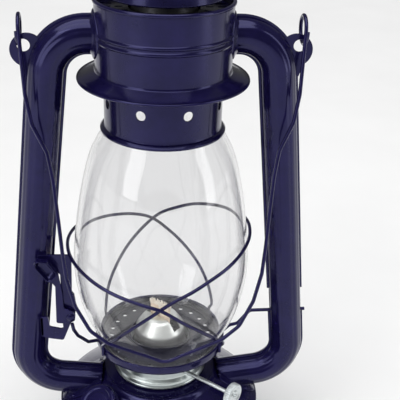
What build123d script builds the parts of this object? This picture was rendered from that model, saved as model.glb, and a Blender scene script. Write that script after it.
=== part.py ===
from build123d import *
from math import cos, radians, sin
import os

# A tubular "hurricane" oil lantern.  Millimetres, +Z up, origin on the ground under the centre.
# +X is the side of the guide wire, -X the side of the lift lever, -Y the front.

# ---- driving dimensions -------------------------------------------------------------------
SHEET = 0.8                     # pressed steel thickness
GAP = 0.05                      # clearance left between pieces that are soldered or seamed
RUN = 0.3                       # clearance between pieces that pass each other
FIT = 0.08                      # radial clearance of a shaft that turns in its hole

# fuel tank
TANK_R = 54.8
TANK_WALL_TOP = 39.5
TANK_SHOULDER = ((54.8, 43.0), (50.5, 46.2), (29.5, 60.6), (21.9, 62.14))
SEAM_R = 55.8
SEAM_Z = (39.6, 42.4)
SOCKET_R = 21.5                 # bore side of the threaded collar
SOCKET_Z = (59.6, 66.2)
FILLER_TURN = -140.0            # direction of the filler seen from above, degrees from +X
FILLER_REACH = 41.0             # distance of the filler axis from the lantern axis at the shoulder
FILLER_TILT = 34.0              # filler axis leans outwards, square to the shoulder
FILLER_R = 8.0
FILLER_CAP_R = 10.4
CAP_FLUTES = 16

# burner
CUP_R = 23.2
CUP_FLANGE_R = 25.3
CUP_Z = (62.4, 76.0)
DECK_Z = 76.3
DOME_R = 14.5
DOME_Z = (77.3, 95.0)
WICK_TURN = -42.6               # direction of the wick's width and of the spindle
WICK_WIDTH = 12.7
WICK_THICK = 3.0
WICK_Z = (15.5, 101.4)
WICK_TUBE_Z = (56.0, 89.0)
SPINDLE_Z = 70.0
SPINDLE_R = 1.1
SPUR_R = 4.1
SPINDLE_OFFSET = WICK_THICK / 2 + SPUR_R + RUN
KNOB_R = 6.3
KNOB_REACH = (51.6, 55.2)

# globe carrier
PLATE_R = 34.7
PLATE_Z = 80.6                  # underside of the perforated floor
PLATE_BORE = 16.3
PLATE_RIM_TOP = 84.2
PLATE_HOLES = 24
PLATE_HOLE_RING = 27.3
GLASS = 1.9
GLOBE_OUTLINE = ((31.3, 81.8), (36.3, 92.0), (41.3, 103.0), (44.7, 118.0), (45.7, 133.0),
                 (43.8, 153.0), (40.6, 173.0), (36.4, 190.0), (30.6, 202.0), (29.0, 205.2))
GUARD_WIRE_R = 0.9
# height of each guard wire, by its angle round the globe from the wire's high side
GUARD_A_PATH = ((0, 141.0), (30, 139.3), (60, 134.9), (84, 130.8), (105, 117.5), (128, 101.0), (149, 87.5))
GUARD_B_PATH = ((0, 149.3), (30, 147.6), (60, 142.0), (86, 133.6), (105, 120.5), (128, 101.5), (151, 87.5))
GUARD_A_STAND_OFF = 3.6         # guard A crosses outside guard B
GUARD_B_STAND_OFF = 1.7

# frame
TUBE_R = 8.7
TUBE_BORE = 7.9
TUBE_TOP_Z = 250.6
TUBE_HALF_SPACING = 62.05       # of the tube centres at height TUBE_WAIST_Z
TUBE_WAIST_Z = 165.0
TUBE_SPLAY = 0.1021             # sideways run per unit of height
TUBE_FOOT = (73.2, 57.4)        # corner of the lower bend
TUBE_INNER_END = (33.0, 52.4)
TUBE_BEND = (19.5, 15.0)        # centreline radius of the upper and lower bends
FIN_REACH = 1.0                 # seam fin outside the tube
FIN_THICK = 0.9
EAR_CENTRE = (63.2, 242.9)
EAR_R = 8.1
EAR_HOLE = (64.8, 245.2)
EAR_HOLE_R = 3.0
EAR_THICK = 1.2
CHAMBER_R = 32.5
CHAMBER_Z = (229.6, 266.9)
CHAMBER_BEADS = (252.6, 249.8)
SKIRT_R = 41.4
TOP_PLATE_Z = 262.6

# chimney
COLLAR_R = 28.6
COLLAR_RIM_R = 30.6
COLLAR_Z = (203.9, 231.4)
COLLAR_HOLES = 8
COLLAR_HOLE_Z = 219.7
COLLAR_HOLE_R = 2.4
FLUE_R = 15.5
FLUE_Z = (222.0, 285.0)
HOOD_R = 28.5
HOOD_Z = (270.0, 292.0)
CAP_R = 13.4
CAP_Z = (291.4, 296.4)
RING_PIVOT_Z = 298.6
RING_R = 11.0
RING_WIRE_R = 1.0
RING_FOLD = 94.0                # the ring rests folded back by this angle from upright

# globe lift
LEVER_PIVOT = (-48.0, 102.1)
# outlines in the plane of the plates, as (x, z) points
LEVER_OUTLINE = ((-55.5, 98.8), (-49.0, 98.0), (-45.8, 100.0), (-45.4, 103.6), (-47.5, 106.0), (-51.3, 108.0),
                 (-51.6, 116.0), (-53.3, 129.0), (-54.2, 131.1), (-58.0, 137.1), (-63.9, 138.2), (-64.9, 136.6),
                 (-64.6, 134.6), (-58.0, 125.2), (-55.2, 121.3))
THUMB_OUTLINE = ((-53.6, 129.6), (-54.2, 131.1), (-58.0, 137.1), (-63.9, 138.2), (-64.9, 136.6), (-64.6, 134.6),
                 (-58.0, 125.2))
THUMB_DEPTH = 3.2               # how far the rim of the thumb cup stands forward
THUMB_HOLLOW = 0.74             # size of the cup's hollow against its outline
BRACKET_OUTLINE = ((-54.8, 128.1), (-63.5, 129.5), (-63.5, 139.0), (-46.4, 138.4), (-46.9, 116.4), (-45.7, 114.8),
                   (-44.9, 108.0), (-45.8, 101.5), (-47.9, 97.6), (-52.3, 86.1), (-59.9, 87.6), (-63.9, 89.2),
                   (-63.9, 101.0), (-60.0, 101.4), (-59.2, 94.9), (-52.1, 93.0), (-52.3, 96.2), (-52.6, 127.6))
BRACKET_FOOT = ((-63.9, -62.7), (-9.4, -5.0), (89.6, 100.6))    # flange turned back to the tube
LEVER_Y = (-11.9, -10.7)
BRACKET_Y = (-9.4, -8.2)
RIVET_R = 1.5
LIFT_WIRE_R = 0.95
LIFT_SLOT_TRAVEL = 13.2
GUIDE_WIRE_Z = 95.0

# bail
BAIL_WIRE_R = 0.95
BAIL_EYE_X = 66.4
BAIL_EYE_R = 6.8
BAIL_AXIS = (3.0, 252.0)        # y and z of the centre of the eyes, about which the bail swings
BAIL_LEAN = 13.3                # the bail hangs forwards by this angle from straight down
# half of the bail in its own plane: distance from the middle, distance down from the eye
BAIL_HALF = ((64.4, 30.0), (61.9, 43.3), (55.3, 57.0), (53.0, 70.0), (51.0, 91.0), (49.8, 105.0),
             (48.2, 119.0), (44.2, 133.5), (37.2, 146.5), (28.6, 153.4), (17.6, 157.8), (9.2, 161.0))
BAIL_NOTCH = 165.0


# ---- helpers ------------------------------------------------------------------------------
def turned(points):
    """Solid of revolution about Z from a closed outline of (radius, height) points."""
    return revolve(Plane.XZ * make_face(Polyline(*points, close=True)), Axis.Z)


def turned_sheet(points, thickness, radius, side=Side.RIGHT):
    """Thin turned shell: an open (radius, height) line with rounded corners, thickened."""
    line = FilletPolyline(*points, radius=radius)
    band = offset(line, amount=thickness, side=side, closed=True)
    return revolve(Plane.XZ * make_face(band), Axis.Z)


def bead(radius, height, size):
    """Rolled bead round a turned wall."""
    return Pos(0, 0, height) * Torus(radius, size)


def disc(radius, bottom, top, bore=0.0):
    """Flat ring or plate."""
    plate = Pos(0, 0, (bottom + top) / 2) * Cylinder(radius, top - bottom)
    if bore:
        plate -= Pos(0, 0, (bottom + top) / 2) * Cylinder(bore, top - bottom + 2)
    return plate


def wire_along(points, wire_radius, bend):
    """Round wire along straight runs joined by tangent arcs."""
    path = FilletPolyline(*points, radius=bend)
    section = Plane(origin=path @ 0, z_dir=path % 0) * Circle(wire_radius)
    return sweep(section, path=path)


def value_along(table, key):
    """Straight-line interpolation in a short table of (key, value) pairs."""
    for (k0, v0), (k1, v1) in zip(table, table[1:]):
        if k0 <= key <= k1:
            return v0 + (v1 - v0) * (key - k0) / (k1 - k0)
    return table[-1][1] if key > table[-1][0] else table[0][1]


def flat(side_points, y_range):
    """Plate in the XZ plane, from (x, z) points, between two values of y."""
    face = make_face(Polyline(*[(x, y_range[0], z) for x, z in side_points], close=True))
    return extrude(face, amount=y_range[1] - y_range[0], dir=(0, 1, 0))


def pin_y(x, z, radius, y_range):
    """Round pin or drill along Y."""
    middle = (y_range[0] + y_range[1]) / 2
    return Pos(x, middle, z) * Rot(90, 0, 0) * Cylinder(radius, y_range[1] - y_range[0])


def polar(count, radius, tool, start=0.0):
    """Copies of a tool round the Z axis."""
    return [Rot(0, 0, start + 360 * i / count) * Pos(radius, 0, 0) * tool for i in range(count)]


WICK_FRAME = Rot(0, 0, WICK_TURN)    # local X runs along the wick's width and the spindle
SPINDLE_FRAME = WICK_FRAME * Pos(0, -SPINDLE_OFFSET, SPINDLE_Z)


# ---- fuel tank ----------------------------------------------------------------------------
def tank_cup():
    """Drawn lower shell with a standing rim under it."""
    line = ((0, 4.0), (47.5, 4.0), (49.5, 0.5), (52.0, 0.5), (TANK_R, 6.0), (TANK_R, TANK_WALL_TOP))
    face = offset(FilletPolyline(*line, radius=[1.0, 1.2, 1.2, 3.0]), amount=SHEET, side=Side.LEFT, closed=True)
    shell = revolve(Plane.XZ * make_face(face), Axis.Z)
    lift = shell.bounding_box().min.Z
    return Pos(0, 0, -lift) * shell


def tank_top():
    """Domed upper shell with the rolled seam and two embossed rings."""
    line = ((SEAM_R, SEAM_Z[0]), (SEAM_R, SEAM_Z[1])) + TANK_SHOULDER
    shell = turned_sheet(line, SHEET, [0.6, 1.0, 4.0, 3.0], Side.LEFT)
    shell += bead(31.2, 59.2, 1.0)
    return shell - filler_frame() * Cylinder(FILLER_R + GAP, 20)


def dome_solid(grow):
    """Filled space under the tank top's outer face, grown upwards by a distance."""
    outline = [(0, 0), (TANK_R + grow, 0)] + [(r, z + grow) for r, z in TANK_SHOULDER] + [(0, 62.2 + grow)]
    return turned(outline)


def burner_socket():
    """Threaded collar soldered into the tank top."""
    low, high = SOCKET_Z
    return disc(SOCKET_R, low, high, SOCKET_R - 1.4)


def filler_frame():
    """Frame at the shoulder with local Z along the filler axis."""
    shoulder_z = value_along(((29.5, 60.6), (50.5, 46.2)), FILLER_REACH)
    return Rot(0, 0, FILLER_TURN) * Pos(FILLER_REACH, 0, shoulder_z) * Rot(0, FILLER_TILT, 0)


def filler_neck():
    tube = Pos(0, 0, 2.2) * Cylinder(FILLER_R, 9.4) - Pos(0, 0, 2.2) * Cylinder(FILLER_R - 0.9, 10)
    return filler_frame() * tube


def filler_cap():
    """Screw cap with a fluted edge."""
    cap = Pos(0, 0, 5.9) * Cylinder(FILLER_CAP_R, 7.0)
    cap = fillet(cap.edges().group_by(Axis.Z)[-1], 1.4)
    cap -= Pos(0, 0, 5.0) * Cylinder(FILLER_R + RUN, 7.2)
    for notch in polar(CAP_FLUTES, FILLER_CAP_R + 0.5, Pos(0, 0, 5.6) * Cylinder(1.1, 4.6)):
        cap -= notch
    return filler_frame() * cap


def filler_gasket():
    """Sealing washer under the cap, on the end of the neck."""
    ring = Cylinder(FILLER_R - 0.1, 1.5) - Cylinder(FILLER_R - 3.0, 2.0)
    return filler_frame() * Pos(0, 0, 7.75) * ring


# ---- burner -------------------------------------------------------------------------------
def burner_cup():
    """Plated burner body: screwed skirt, flange and plain wall, drilled for the spindle."""
    low, high = CUP_Z
    skirt = SOCKET_R - 1.4 - GAP
    outline = [(skirt - 0.8, low - 1.6), (skirt, low - 1.6), (skirt, SOCKET_Z[1] + 0.2),
               (CUP_FLANGE_R - 0.6, SOCKET_Z[1] + 0.2), (CUP_FLANGE_R - 0.6, low + 0.5),
               (CUP_FLANGE_R, low + 0.2), (CUP_FLANGE_R, low + 1.2), (CUP_R + 0.9, SOCKET_Z[1] + 0.6),
               (CUP_R, SOCKET_Z[1] + 1.6), (CUP_R, high), (CUP_R - SHEET, high),
               (CUP_R - SHEET, SOCKET_Z[1] + 1.0), (skirt - 0.8, SOCKET_Z[1] + 1.0)]
    cup = turned(outline)
    drill = SPINDLE_FRAME * Pos(20, 0, 0) * Rot(0, 90, 0) * Cylinder(SPINDLE_R + FIT, 30)
    floor = disc(skirt - 0.85, low - 1.6, low - 0.8)
    floor -= WICK_FRAME * Box(WICK_WIDTH + 2.4, WICK_THICK + 2.6, 200)
    return cup - drill, floor


def burner_deck():
    """Perforated air deck across the top of the burner body."""
    deck = disc(CUP_R - SHEET - GAP, DECK_Z - 0.8, DECK_Z)
    deck -= WICK_FRAME * Box(WICK_WIDTH + 2.4, WICK_THICK + 2.6, 400)
    for radius, count in ((12.0, 16), (16.0, 22), (20.0, 28)):
        for hole in polar(count, radius, Cylinder(0.9, 400)):
            deck -= hole
    return deck


def burner_dome():
    """Air dome with the flame slot, cut further down at the spindle side."""
    low, high = DOME_Z
    line = ((DOME_R + 1.2, low), (DOME_R, low), (DOME_R - 0.8, 87.5), (8.4, high), (0, high))
    dome = turned_sheet(line, 0.7, [0.4, 5.0, 4.0], Side.LEFT)
    slot = WICK_FRAME * Pos(1.8, 0, high) * Box(20.5, 5.4, 17.0)
    return dome - slot


def wick_tube():
    """Flat tube round the wick, with a window for the spurs."""
    low, high = WICK_TUBE_Z
    inner = (WICK_WIDTH + 0.6, WICK_THICK + 0.6)
    tube = Box(inner[0] + 1.2, inner[1] + 1.2, high - low) - Box(inner[0], inner[1], high - low + 2)
    tube = Pos(0, 0, (low + high) / 2) * tube
    tube -= Pos(0, -inner[1] / 2 - 0.5, SPINDLE_Z) * Box(10.0, 2.4, 2 * SPUR_R + 2.6)
    return WICK_FRAME * tube


def wick():
    low, high = WICK_Z
    strip = Pos(0, 0, (low + high) / 2) * Box(WICK_WIDTH, WICK_THICK, high - low)
    return WICK_FRAME * fillet(strip.edges().filter_by(Axis.Z), 1.2)


def wick_spindle():
    length = KNOB_REACH[1] + 9.0 + 1.0
    rod = Pos(length / 2 - 9.0, 0, 0) * Rot(0, 90, 0) * Cylinder(SPINDLE_R, length)
    return SPINDLE_FRAME * rod


def wick_spurs():
    """Two toothed wheels pressed on the spindle."""
    spurs = []
    for along in (-3.0, 3.0):
        wheel = Cylinder(SPUR_R, 1.4) - Cylinder(SPINDLE_R, 2)
        for notch in polar(12, SPUR_R + 0.2, Cylinder(0.55, 2)):
            wheel -= notch
        spurs.append(SPINDLE_FRAME * Pos(along, 0, 0) * Rot(0, 90, 0) * wheel)
    return spurs


def wick_knob():
    """Plated disc with a milled edge and a dished face."""
    thick = KNOB_REACH[1] - KNOB_REACH[0]
    knob = Cylinder(KNOB_R, thick) - Cylinder(SPINDLE_R, thick + 2)
    knob = fillet(knob.edges().filter_by(GeomType.CIRCLE).group_by(SortBy.RADIUS)[-1], 0.5)
    knob -= Pos(0, 0, thick / 2) * (Cylinder(KNOB_R - 1.3, 1.2) - Cylinder(2.4, 2))
    for notch in polar(36, KNOB_R + 0.22, Cylinder(0.42, thick + 2)):
        knob -= notch
    return SPINDLE_FRAME * Pos(sum(KNOB_REACH) / 2, 0, 0) * Rot(0, 90, 0) * knob


# ---- frame --------------------------------------------------------------------------------
def tube_centre_x(z):
    """Sideways place of a side tube's centre at a height on its straight run."""
    return TUBE_HALF_SPACING + (TUBE_WAIST_Z - z) * TUBE_SPLAY


def tube_path(side):
    """Centreline of a side tube from the air chamber down to the tank."""
    top_corner = (tube_centre_x(TUBE_TOP_Z), TUBE_TOP_Z)
    corners = ((CHAMBER_R - 1.5, TUBE_TOP_Z), top_corner, TUBE_FOOT, TUBE_INNER_END)
    return FilletPolyline(*[(side * x, 0, z) for x, z in corners], radius=TUBE_BEND)


def along_tube(side, profile):
    path = tube_path(side)
    return sweep(Plane(origin=path @ 0, x_dir=(0, 1, 0), z_dir=path % 0) * profile, path=path)


def ear(side):
    """Bail ear, in the plane of the seam fin."""
    x, z = EAR_CENTRE
    y_range = (-EAR_THICK / 2, EAR_THICK / 2)
    plate = pin_y(side * x, z, EAR_R, y_range)
    plate += flat([(side * (x - 7), z - 13), (side * (x + 2.5), z - 13), (side * (x + 6), z - 4),
                   (side * (x - 4), z + 4)], y_range)
    return plate


def side_tube(side):
    """Air tube in two seamed halves, with its fin and bail ear, coped to chamber and tank."""
    tube = along_tube(side, Circle(TUBE_R))
    fin = along_tube(side, Rectangle(FIN_THICK, 2 * (TUBE_R + FIN_REACH)))
    body = tube + fin + ear(side)
    body -= along_tube(side, Circle(TUBE_BORE))
    body -= pin_y(side * EAR_HOLE[0], EAR_HOLE[1], EAR_HOLE_R, (-3, 3))
    body -= disc(CHAMBER_R + 0.95, 225, 275)
    body -= dome_solid(1.25)
    if side > 0:
        body -= lift_slot()
    return max(body.solids(), key=lambda solid: solid.volume)


def lift_slot():
    """Upright slot through the right tube, in which the guide wire slides."""
    bottom = GUIDE_WIRE_Z - LIFT_WIRE_R - RUN
    height = LIFT_SLOT_TRAVEL + 2 * LIFT_WIRE_R + 2 * RUN
    return Pos(70, 0, bottom + height / 2) * Box(30, 2 * (LIFT_WIRE_R + RUN), height)


def tube_saddles():
    """Flanges that follow the tank top round the foot of each tube."""
    sheet = dome_solid(1.2) - dome_solid(0.1)
    saddles = []
    for side in (-1, 1):
        ring = sheet & along_tube(side, Circle(TUBE_R + 3.2))
        ring -= along_tube(side, Circle(TUBE_BORE))
        saddles.append(max(ring.solids(), key=lambda solid: solid.volume))
    return saddles


def tube_bosses():
    """Embossed rings where the tubes enter the air chamber."""
    wall = disc(CHAMBER_R + 0.9, 225, 275, CHAMBER_R + 0.1)
    bosses = []
    for side in (-1, 1):
        port = Pos(side * CHAMBER_R, 0, TUBE_TOP_Z) * Rot(0, 90, 0)
        ring = wall & (port * Cylinder(TUBE_R + 2.8, 30))
        ring -= port * Cylinder(TUBE_BORE, 32)
        for z in CHAMBER_BEADS:
            ring -= bead(CHAMBER_R, z, 0.75)
        bosses += ring.solids()
    return bosses


def air_chamber():
    """Chamber wall with rolled top edge, two beads and the collar guide at its foot."""
    low, high = CHAMBER_Z
    wall = disc(CHAMBER_R, low, high, CHAMBER_R - SHEET)
    wall += bead(CHAMBER_R - 0.2, high, 1.0)
    for z in CHAMBER_BEADS:
        wall += bead(CHAMBER_R - 0.3, z, 0.8)
    wall += disc(CHAMBER_R - 0.1, low, low + SHEET, COLLAR_R + 0.5)
    for side in (-1, 1):
        wall -= Pos(side * CHAMBER_R, 0, TUBE_TOP_Z) * Rot(0, 90, 0) * Cylinder(TUBE_BORE, 30)
    return wall


def chamber_skirt():
    """Rain skirt round the foot of the chamber."""
    root = CHAMBER_R + GAP
    low = CHAMBER_Z[0]
    skirt = turned([(root, low + 4.2), (root + 1.6, low + 3.6), (SKIRT_R - 0.3, low + 0.7),
                    (SKIRT_R - 0.6, low + 0.1), (root + 1.4, low + 2.8), (root, low + 3.2)])
    return skirt + bead(SKIRT_R - 0.8, low + 0.4, 0.65)


def chamber_top_plate():
    """Recessed plate with air slots, round the flue."""
    plate = disc(CHAMBER_R - SHEET - GAP, TOP_PLATE_Z, TOP_PLATE_Z + SHEET, FLUE_R + 1.2)
    for slot in polar(28, 27.4, Box(5.4, 1.8, 600)):
        plate -= slot
    for slot in polar(16, 21.0, Box(3.6, 1.8, 600)):
        plate -= slot
    return plate


# ---- chimney ------------------------------------------------------------------------------
def chimney_collar():
    """Perforated collar on the globe, with the web that carries the flue."""
    low, high = COLLAR_Z
    outline = [(COLLAR_RIM_R, low), (COLLAR_RIM_R, low + 0.9), (COLLAR_R, low + 3.0), (COLLAR_R, high),
               (FLUE_R + GAP, high), (FLUE_R + GAP, high - SHEET), (COLLAR_R - SHEET, high - SHEET),
               (COLLAR_R - SHEET, low + 2.5), (COLLAR_RIM_R - 0.7, low + 0.5), (COLLAR_RIM_R - 0.7, low)]
    collar = turned(outline)
    for index in range(COLLAR_HOLES):
        angle = -90 + 20 + 360 / COLLAR_HOLES * index
        collar -= Pos(0, 0, COLLAR_HOLE_Z) * Rot(0, 0, angle) * Pos(25, 0, 0) * Rot(0, 90, 0) * \
            Cylinder(COLLAR_HOLE_R, 20)
    return collar


def chimney_flue():
    """Inner tube with a bell mouth over the flame."""
    low, high = FLUE_Z
    return turned([(FLUE_R + 3.4, low), (FLUE_R, low + 6), (FLUE_R, high), (FLUE_R - SHEET, high),
                   (FLUE_R - SHEET, low + 5.8), (FLUE_R + 2.5, low)])


def hood_struts():
    """Three strips that hold the hood on the flue."""
    length = HOOD_R - 1.2 - SHEET - FLUE_R - 2 * GAP
    return polar(3, FLUE_R + GAP + length / 2, Pos(0, 0, HOOD_Z[0] + 7) * Box(length, 5, 1.2), 30)


def hood():
    """Weather hood with a rolled lower edge."""
    low, high = HOOD_Z
    line = ((HOOD_R - 0.9, low), (HOOD_R - 0.9, low + 9), (21.0, low + 16.5), (CAP_R - 2, high),
            (5.0, high + 0.6))
    shell = turned_sheet(line, SHEET, [4.0, 6.0, 4.0], Side.LEFT)
    return shell + bead(HOOD_R - 0.75, low, 0.75)


def hood_cap():
    """Small domed cap on the hood, with the arch that holds the ring."""
    low, high = CAP_Z
    cap = turned([(2.0, high - 1.0), (2.0, high), (8.0, high - 0.6), (CAP_R, low + 1.5), (CAP_R, low + 0.6),
                  (CAP_R - 0.8, low + 0.6), (8.0, high - 1.6)])
    cap += disc(2.2, low + 1.6, high)
    arch = pin_y(0, 0, 3.0, (-1.4, 1.4)) - pin_y(0, 0, RING_WIRE_R + 0.75, (-3, 3))
    return cap + Pos(0, 0, RING_PIVOT_Z) * Rot(0, 0, 90) * arch


def lifting_ring():
    """Wire ring through the arch, lying folded back."""
    ring = Pos(0, 0, RING_R) * Rot(90, 0, 0) * Torus(RING_R, RING_WIRE_R)
    return Pos(0, 0, RING_PIVOT_Z) * Rot(-RING_FOLD, 0, 0) * ring


# ---- globe carrier ------------------------------------------------------------------------
def globe_profile(inset):
    """Points of the globe's outline, moved inwards by a distance."""
    return [(radius - inset, z) for radius, z in GLOBE_OUTLINE]


def globe_glass():
    outer = Spline(*globe_profile(0))
    inner = Spline(*globe_profile(GLASS))
    ends = (Line(outer @ 0, inner @ 0), Line(outer @ 1, inner @ 1))
    return revolve(Plane.XZ * make_face([outer, inner, *ends]), Axis.Z)


def globe_plate():
    """Perforated floor with an upturned rim outside and a raised edge round the burner."""
    rim = PLATE_R
    outline = [(PLATE_BORE, PLATE_Z), (rim, PLATE_Z - 0.3), (rim, PLATE_RIM_TOP), (rim - 0.9, PLATE_RIM_TOP),
               (rim - 0.9, PLATE_Z + 0.8), (PLATE_BORE + 0.8, PLATE_Z + 0.8), (PLATE_BORE + 0.8, PLATE_Z + 2.4),
               (PLATE_BORE, PLATE_Z + 2.4)]
    plate = turned(outline)
    for hole in polar(PLATE_HOLES, PLATE_HOLE_RING, Pos(0, 0, PLATE_Z) * Cylinder(1.3, 6)):
        plate -= hole
    return plate


def guard_wire(path, stand_off, side):
    """Guard wire round the globe: high on one side, its two feet soldered to the rim at the other."""
    last = path[-1][0]
    steps = 19
    half = []
    for index in range(steps):
        angle = last * index / (steps - 1)
        z = value_along(path, angle)
        reach = value_along([(height, radius) for radius, height in GLOBE_OUTLINE], z) + stand_off
        half.append((side * reach * cos(radians(angle)), reach * sin(radians(angle)), z))
    foot = PLATE_R + GUARD_WIRE_R + GAP
    for z in (PLATE_RIM_TOP + 0.6, PLATE_Z + 0.8):
        half.append((side * foot * cos(radians(last)), foot * sin(radians(last)), z))
    points = [(x, -y, z) for x, y, z in reversed(half)] + half[1:]
    return wire_along(points, GUARD_WIRE_R, 2.5)


def guide_wire():
    """Cranked wire on the carrier that slides in the slot of the right tube."""
    points = [(PLATE_R + 0.6, 0, 82.4), (38.6, 0, 85.6), (43.0, 0, 86.6), (49.5, 0, GUIDE_WIRE_Z),
              (80.2, 0, GUIDE_WIRE_Z)]
    return wire_along(points, LIFT_WIRE_R, 2.0)


# ---- globe lift ---------------------------------------------------------------------------
def lever_bracket():
    """Plate beside the left tube: an upper tab on the tube and a lower one turned back against it."""
    plate = flat(BRACKET_OUTLINE, BRACKET_Y)
    middle = [sum(pair) / 2 for pair in BRACKET_FOOT]
    sizes = [pair[1] - pair[0] for pair in BRACKET_FOOT]
    plate += Pos(*middle) * Box(*sizes)
    plate -= along_tube(-1, Circle(TUBE_R + GAP))
    plate -= pin_y(*LEVER_PIVOT, RIVET_R + FIT, (-12, -6))
    return max(plate.solids(), key=lambda solid: solid.volume)


def lift_lever():
    """Thumb lever in front of the left tube, with a cupped thumb piece at its top."""
    strap = flat(LEVER_OUTLINE, LEVER_Y) - pin_y(*LEVER_PIVOT, RIVET_R, (-15, -6))
    centre = [sum(values) / len(THUMB_OUTLINE) for values in zip(*THUMB_OUTLINE)]
    hollow = [(centre[0] + (x - centre[0]) * THUMB_HOLLOW, centre[1] + (z - centre[1]) * THUMB_HOLLOW)
              for x, z in THUMB_OUTLINE]
    front = LEVER_Y[0] - THUMB_DEPTH
    rim = flat(THUMB_OUTLINE, (front, LEVER_Y[1])) - flat(hollow, (front - 1, LEVER_Y[0]))
    return strap + rim


def lever_rivet():
    x, z = LEVER_PIVOT
    shank = pin_y(x, z, RIVET_R, (LEVER_Y[0] - 0.02, BRACKET_Y[1] + 0.3))
    front = pin_y(x, z, RIVET_R + 0.9, (LEVER_Y[0] - 1.0, LEVER_Y[0] - 0.02))
    back = pin_y(x, z, RIVET_R + 0.9, (BRACKET_Y[1] + 0.3, BRACKET_Y[1] + 1.2))
    return shank + front + back


def lift_wire():
    """Cranked wire welded to the lever; its end lies under the globe plate."""
    front = LEVER_Y[0] - LIFT_WIRE_R - 0.02
    points = [(-47.3, front, 99.0), (-46.6, front, 95.0), (-44.6, -9.0, 88.4), (-41.8, -6.0, 84.0),
              (-39.4, -3.5, 80.2), (-35.5, -1.0, 79.0), (-30.5, 0, 79.0)]
    return wire_along(points, LIFT_WIRE_R, 1.2)


# ---- bail ---------------------------------------------------------------------------------
def bail():
    """Carrying wire with a notch in its middle and a round eye through each ear."""
    y_axis, z_axis = BAIL_AXIS
    lean = radians(BAIL_LEAN)
    # the straight ends leave the eyes as tangents
    tangent = (y_axis - BAIL_EYE_R * cos(lean), z_axis + BAIL_EYE_R * sin(lean))

    def place(x, down):
        return (x, tangent[0] - down * sin(lean), tangent[1] - down * cos(lean))

    half = [place(x, down) for x, down in BAIL_HALF]
    right = [place(BAIL_EYE_X, 0)] + half
    left = [(-x, y, z) for x, y, z in right]
    wire = wire_along(right + [place(0, BAIL_NOTCH)] + left[::-1], BAIL_WIRE_R, 3.5)
    for side in (-1, 1):
        wire += Pos(side * BAIL_EYE_X, y_axis, z_axis) * Rot(0, 90, 0) * Torus(BAIL_EYE_R, BAIL_WIRE_R)
    return wire


def parts():
    """Every sub-part, by node name."""
    cup, floor = burner_cup()
    made = {
        "tank_cup": tank_cup(),
        "tank_top": tank_top(),
        "burner_socket": burner_socket(),
        "filler_neck": filler_neck(),
        "filler_cap": filler_cap(),
        "filler_gasket": filler_gasket(),
        "burner_cup": cup,
        "burner_floor": floor,
        "burner_deck": burner_deck(),
        "burner_dome": burner_dome(),
        "wick_tube": wick_tube(),
        "wick": wick(),
        "wick_spindle": wick_spindle(),
        "wick_spurs": wick_spurs(),
        "wick_knob": wick_knob(),
        "side_tube_left": side_tube(-1),
        "side_tube_right": side_tube(1),
        "tube_saddles": tube_saddles(),
        "tube_bosses": tube_bosses(),
        "air_chamber": air_chamber(),
        "chamber_skirt": chamber_skirt(),
        "chamber_top_plate": chamber_top_plate(),
        "chimney_collar": chimney_collar(),
        "chimney_flue": chimney_flue(),
        "hood_struts": hood_struts(),
        "hood": hood(),
        "hood_cap": hood_cap(),
        "lifting_ring": lifting_ring(),
        "globe_glass": globe_glass(),
        "globe_plate": globe_plate(),
        "guard_wire_a": guard_wire(GUARD_A_PATH, GUARD_A_STAND_OFF, -1),
        "guard_wire_b": guard_wire(GUARD_B_PATH, GUARD_B_STAND_OFF, 1),
        "guide_wire": guide_wire(),
        "lever_bracket": lever_bracket(),
        "lift_lever": lift_lever(),
        "lever_rivet": lever_rivet(),
        "lift_wire": lift_wire(),
        "bail": bail(),
    }
    return made


def main():
    os.makedirs("parts", exist_ok=True)
    for name, shape in parts().items():
        if isinstance(shape, list):
            shape = Compound(children=shape)
        export_step(shape, f"parts/{name}.step")
        print(name, round(shape.volume, 1))


main()
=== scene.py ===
import random
from math import atan2, cos, degrees, hypot, pi, radians, sin, tan

import bmesh
import bpy
from mathutils import Matrix, Vector


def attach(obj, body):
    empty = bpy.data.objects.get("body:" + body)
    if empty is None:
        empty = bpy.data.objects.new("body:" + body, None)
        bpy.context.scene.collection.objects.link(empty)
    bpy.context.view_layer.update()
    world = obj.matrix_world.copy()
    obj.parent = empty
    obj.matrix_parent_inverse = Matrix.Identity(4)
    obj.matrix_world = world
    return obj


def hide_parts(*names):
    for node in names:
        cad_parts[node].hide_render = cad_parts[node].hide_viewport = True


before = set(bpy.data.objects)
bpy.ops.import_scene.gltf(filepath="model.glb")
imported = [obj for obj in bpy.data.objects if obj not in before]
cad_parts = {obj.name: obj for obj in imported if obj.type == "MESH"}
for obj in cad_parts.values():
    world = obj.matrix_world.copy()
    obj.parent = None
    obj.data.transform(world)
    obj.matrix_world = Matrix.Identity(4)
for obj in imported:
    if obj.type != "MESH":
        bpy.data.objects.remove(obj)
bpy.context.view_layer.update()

MM = 0.001

# ---- driving dimensions, in millimetres ----------------------------------------------------------
# The same as the CAD model's, but for two: the lower TUBE_BEND is 15.0 there, and CAP_FLUTES is 16.
SHEET = 0.8
TANK_R = 54.8
SEAM_R = 55.8
TANK_SHOULDER = ((54.8, 43.0), (50.5, 46.2), (29.5, 60.6), (21.9, 62.14))
SOCKET_R = 21.5
FILLER_TURN = -140.0
FILLER_CENTRE = (-31.41, -26.35, 52.71)
FILLER_TILT = 34.0
FILLER_CAP_R = 10.4
CAP_FLUTES = 36
FLUTE_DEPTH = 0.38
CUP_R = 23.2
DOME_R = 14.5
DOME_Z = (77.3, 95.0)
WICK_TURN = -42.6
WICK_WIDTH = 12.7
WICK_THICK = 3.0
WICK_Z = (15.5, 101.4)
SPINDLE_OFFSET = 5.9
SPINDLE_Z = 70.0
SPINDLE_R = 1.1
KNOB_R = 6.3
KNOB_REACH = (51.6, 55.2)
KNOB_TEETH = 34
MILL_DEPTH = 0.30
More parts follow.
